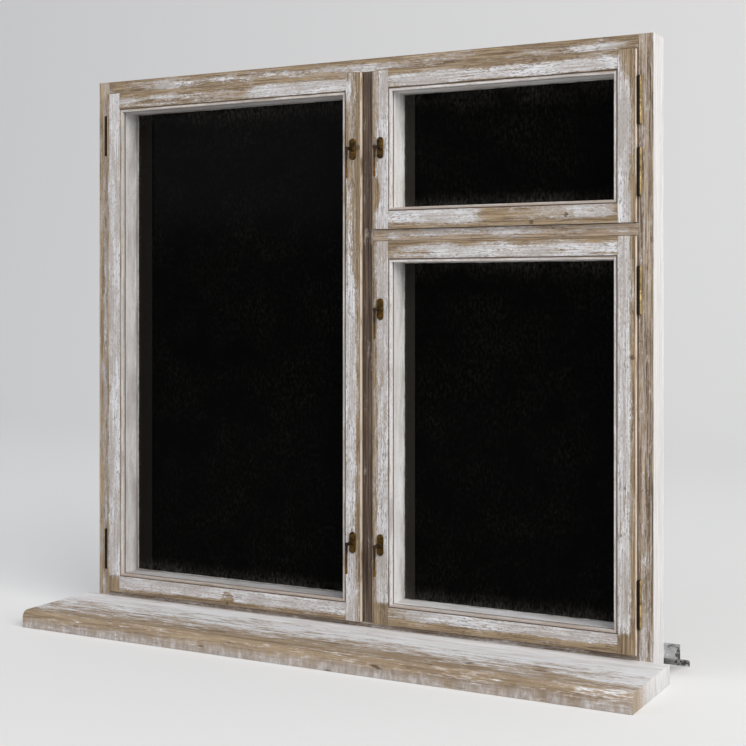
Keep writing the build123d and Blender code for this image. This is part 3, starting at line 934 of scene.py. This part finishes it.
def board_finish(name):
    """Worn paint by s, the way back from the nose, and t, the way along from the left end.

    Cover is a curve of s plus four layers of noise, with a little more at the right end.
    """
    wood = Finish(name)
    s = wood.span(wood.y, board_low[1], sash_front)
    t = wood.span(wood.x, board_low[0], board_high[0])
    sway = wood.noise(wood.place, 1.5, 8, detail=2, shift=6.0)
    broad = wood.noise(wood.place, 9, 60, detail=6, rough=0.72)
    fine = wood.noise(wood.place, 45, 240, detail=3, rough=0.7, shift=3.0)
    fibre = wood.noise(wood.place, 16, 420, detail=2, rough=0.7, shift=7.0)
    rings = wood.noise(wood.place, 3, 80, detail=4, rough=0.65, shift=5.0)
    cover = wood.curve(s, (0, -0.15), (0.14, -0.05), (0.3, 0.40), (0.5, 0.64), (0.75, 0.95), (0.95, 1.15))
    for layer, amount in ((sway, 0.9), (broad, 2.2), (fine, 1.9), (fibre, 0.8)):
        cover = wood.plus(cover, wood.swing(layer, amount))
    cover = wood.plus(cover, wood.times(wood.span(t, 0.90, 1.0), 0.25))
    thick = wood.span(cover, 0.48, 0.66, smooth=True)
    thin = wood.span(cover, 0.10, 0.54, smooth=True)
    grain = wood.plus(wood.times(fibre, 0.4), wood.times(rings, 0.6))
    colour = board_top(wood, thick, thin, grain, broad, fibre)
    colour = board_ends(wood, board_front(wood, colour), s, fine)
    spots = wood.span(wood.noise(wood.place, 16, 60, detail=1, shift=13.0), 0.70, 0.76)
    colour = wood.lay(colour, wood.times(spots, wood.span(s, 0.55, 0.35)), 0.8, tint(84, 62, 46))
    return wood.close(colour, 0.74, wood.plus(wood.times(thick, 0.6), grain))


board = skin("weathered_board", board_grids())
board.data.materials.append(board_finish("board_wood_paint"))
board_edge = board.modifiers.new("edge", "BEVEL")
board_edge.width = 0.0012
board_edge.segments = 2
board_edge.limit_method = "ANGLE"
board_edge.angle_limit = math.radians(60)
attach(board, "window")
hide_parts("window_board")


# Exterior sill
# A folded sheet of grey metal behind the frame, mottled by weather and spattered with black and white.
# The black spots crowd at its two ends.
sill = Finish("weathered_sill")
sill_cloud = sill.noise(sill.place, 22, 22, detail=4)
sill_spot = sill.noise(sill.place, 70, 70, detail=3, shift=4.0)
sill_run = sill.noise(sill.place, 5, 90, detail=3, shift=2.0)
sill_tone = sill.blend(sill.span(sill_cloud, 0.38, 0.62), tint(160, 161, 162), tint(226, 226, 225))
sill_end = sill.times(sill.span(sill.away(sill.x, 0.0), 0.736, 0.756), 0.165)
sill_black = sill.span(sill.plus(sill_spot, sill_end), 0.63, 0.67)
sill_white = sill.span(sill_spot, 0.38, 0.33)
sill_tone = sill.lay(sill_tone, sill_black, 0.9, tint(40, 38, 36))
sill_tone = sill.lay(sill_tone, sill_white, 0.8, tint(232, 232, 230))
sill_roughness = sill.plus(0.42, sill.times(sill_cloud, 0.3))
dress("exterior_sill", sill.close(sill_tone, sill_roughness, sill_run, relief=0.0003))


# Studio
# A pale floor curves up behind the window under a soft sky.
# A broad lamp stands at the right front, and a weak one at the left front.
def sweep(reach, back, lift, bend):
    """A floor line that turns up in a quarter circle and rises, carried from side to side."""
    turn = np.linspace(0, math.pi / 2, 24)
    y = np.concatenate([[-reach], back + bend * np.sin(turn), [back + bend]])
    z = np.concatenate([[0], bend * (1 - np.cos(turn)), [lift]]) - 0.0008
    x = np.array([-reach, reach])
    return np.stack(np.broadcast_arrays(x[:, None], y[None], z[None]), axis=2)


backdrop = skin("backdrop", [sweep(14.0, 4.0, 9.0, 3.0)])
pale = Finish("pale_floor")
pale_ray = pale.add("ShaderNodeLightPath")
pale_seen = pale.reckon("MAXIMUM", pale_ray.outputs["Is Camera Ray"], pale_ray.outputs["Is Glossy Ray"])
pale.shader.inputs["Emission Color"].default_value = (1, 1, 1, 1)
pale.feed(pale.shader.inputs["Emission Strength"], pale.times(pale_seen, 0.22))
backdrop.data.materials.append(pale.close(tint(220, 219, 217), 0.9))

# What is seen of the sky, straight on or in gloss and glass, is paler than the light that it gives.
world = bpy.data.worlds.new("room")
bpy.context.scene.world = world
world.use_nodes = True
sky = world.node_tree
sky.nodes.clear()
path = sky.nodes.new("ShaderNodeLightPath")
seen = path.outputs["Is Camera Ray"]
for ray in ("Is Glossy Ray", "Is Transmission Ray"):
    either = sky.nodes.new("ShaderNodeMath")
    either.operation = "MAXIMUM"
    sky.links.new(seen, either.inputs[0])
    sky.links.new(path.outputs[ray], either.inputs[1])
    seen = either.outputs[0]
soft_light = sky.nodes.new("ShaderNodeBackground")
soft_light.inputs["Color"].default_value = (0.86, 0.90, 1.0, 1)
soft_light.inputs["Strength"].default_value = 0.36
pale_sky = sky.nodes.new("ShaderNodeBackground")
pale_sky.inputs["Color"].default_value = (0.80, 0.80, 0.80, 1)
pale_sky.inputs["Strength"].default_value = 0.8
both = sky.nodes.new("ShaderNodeMixShader")
sky_out = sky.nodes.new("ShaderNodeOutputWorld")
sky.links.new(seen, both.inputs[0])
sky.links.new(soft_light.outputs[0], both.inputs[1])
sky.links.new(pale_sky.outputs[0], both.inputs[2])
sky.links.new(both.outputs[0], sky_out.inputs["Surface"])


def lamp(name, place, aim, power, width, colour):
    """A square lamp at place that shines toward aim."""
    data = bpy.data.lights.new(name, "AREA")
    data.energy = power
    data.size = width
    data.color = colour
    shown = bpy.data.objects.new(name, data)
    bpy.context.scene.collection.objects.link(shown)
    shown.location = place
    way = np.subtract(aim, place)
    lean = math.atan2(math.hypot(way[0], way[1]), -way[2])
    turn = math.atan2(-way[0], way[1])
    shown.rotation_euler = (lean, 0, turn)


lamp("key", (7.7, -4.0, 5.4), (0, 0, 0.6), 800, 7.0, (1, 0.98, 0.95))
lamp("fill", (-4.4, -4.8, 3.2), (-0.4, 0, 0.6), 90, 4.0, (0.95, 0.97, 1))

# The camera looks level, so that uprights stay upright, and its shift lowers the view.
camera_data = bpy.data.cameras.new("camera")
camera_data.lens = 68.04
camera_data.sensor_width = 36
camera_data.shift_y = -0.0992
camera = bpy.data.objects.new("camera", camera_data)
bpy.context.scene.collection.objects.link(camera)
camera.location = (1.594, -2.870, 0.790)
camera.rotation_euler = (math.radians(90), 0, math.radians(28.3))
bpy.context.scene.camera = camera
bpy.context.scene.view_settings.view_transform = "Standard"
